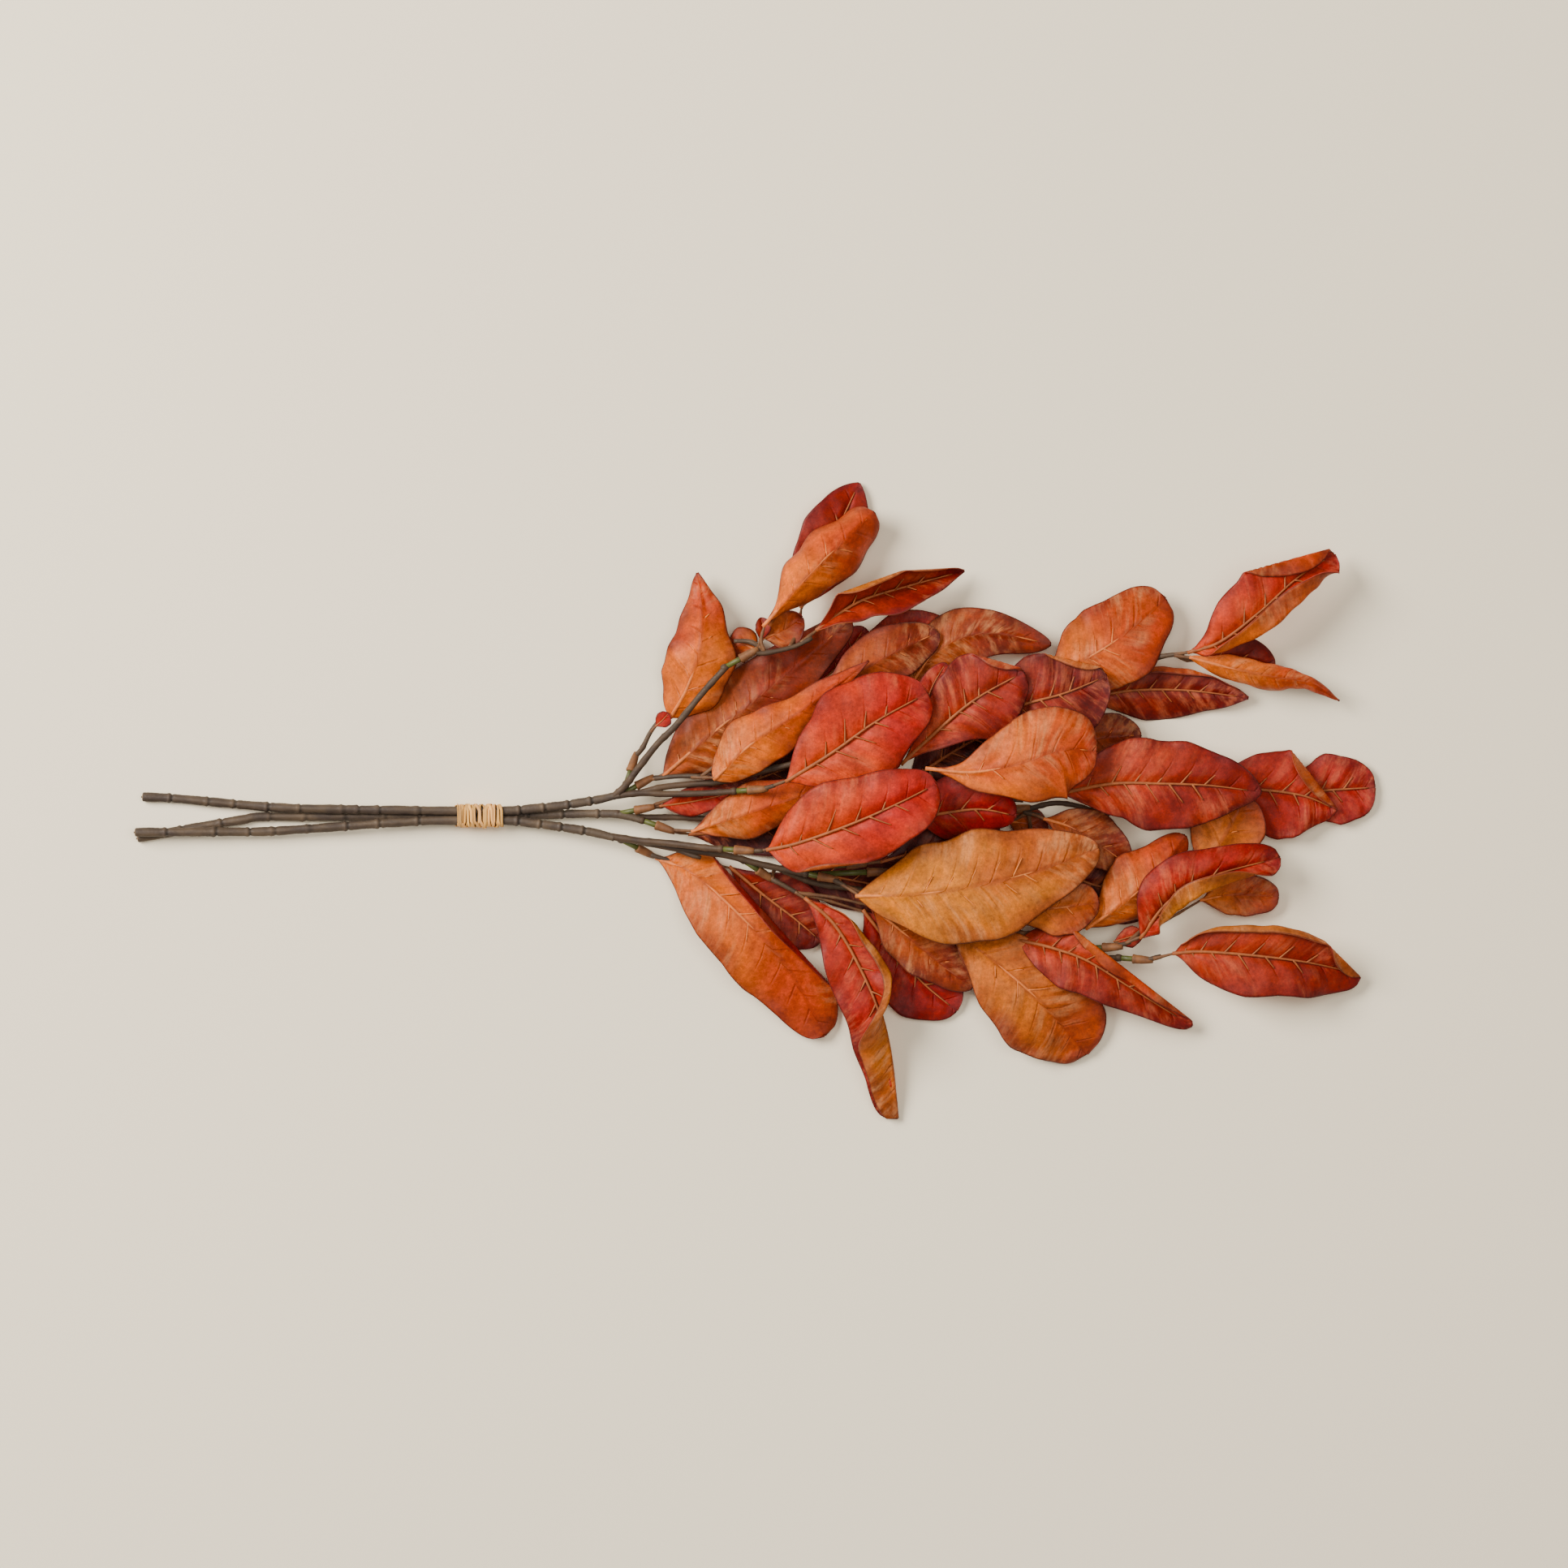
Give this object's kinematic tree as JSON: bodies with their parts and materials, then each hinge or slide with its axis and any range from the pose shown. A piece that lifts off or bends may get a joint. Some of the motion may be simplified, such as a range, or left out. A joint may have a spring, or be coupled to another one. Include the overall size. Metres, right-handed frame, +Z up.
{
  "type": "autumn leaf bunch",
  "caption": "Bunch of leafy autumn branches with red, orange and gold leaves, tied round the stems with raffia and laid flat.",
  "frame": {"origin": "middle of the raffia tie's flat underside, on the surface that the bunch lies on", "axes": "+X along the stems towards the leaves, +Y towards the top of the picture, +Z up from the surface"},
  "size_m": [0.6594, 0.3383, 0.0519],
  "materials": {
    "leaf_red": "satin leaf cloth",
    "leaf_orange": "satin leaf cloth",
    "leaf_gold": "satin leaf cloth",
    "leaf_brown": "satin leaf cloth",
    "leaf_burgundy": "satin leaf cloth",
    "bark": "matte moulded bark",
    "raffia": "dry straw"
  },
  "bodies": {
    "root": {"stem_top": "bark", "stem_middle": "bark", "stem_bottom": "bark", "raffia_tie": "raffia", "sprig_upper_left": "leaf_orange", "sprig_top": "leaf_orange", "sprig_left_brown": "leaf_brown", "sprig_centre_red": "leaf_red", "sprig_upper_middle": "leaf_burgundy", "sprig_right_upper": "leaf_red", "sprig_small_red": "leaf_red", "sprig_centre_left": "leaf_gold", "sprig_centre": "leaf_orange", "sprig_right": "leaf_red", "sprig_front": "leaf_red", "sprig_lower_left": "leaf_orange", "sprig_lower_middle": "leaf_red", "sprig_dark": "leaf_burgundy", "sprig_front_gold": "leaf_gold", "sprig_bottom": "leaf_orange", "sprig_right_lower": "leaf_red", "sprig_right_middle": "leaf_gold"}
  },
  "joints": []
}
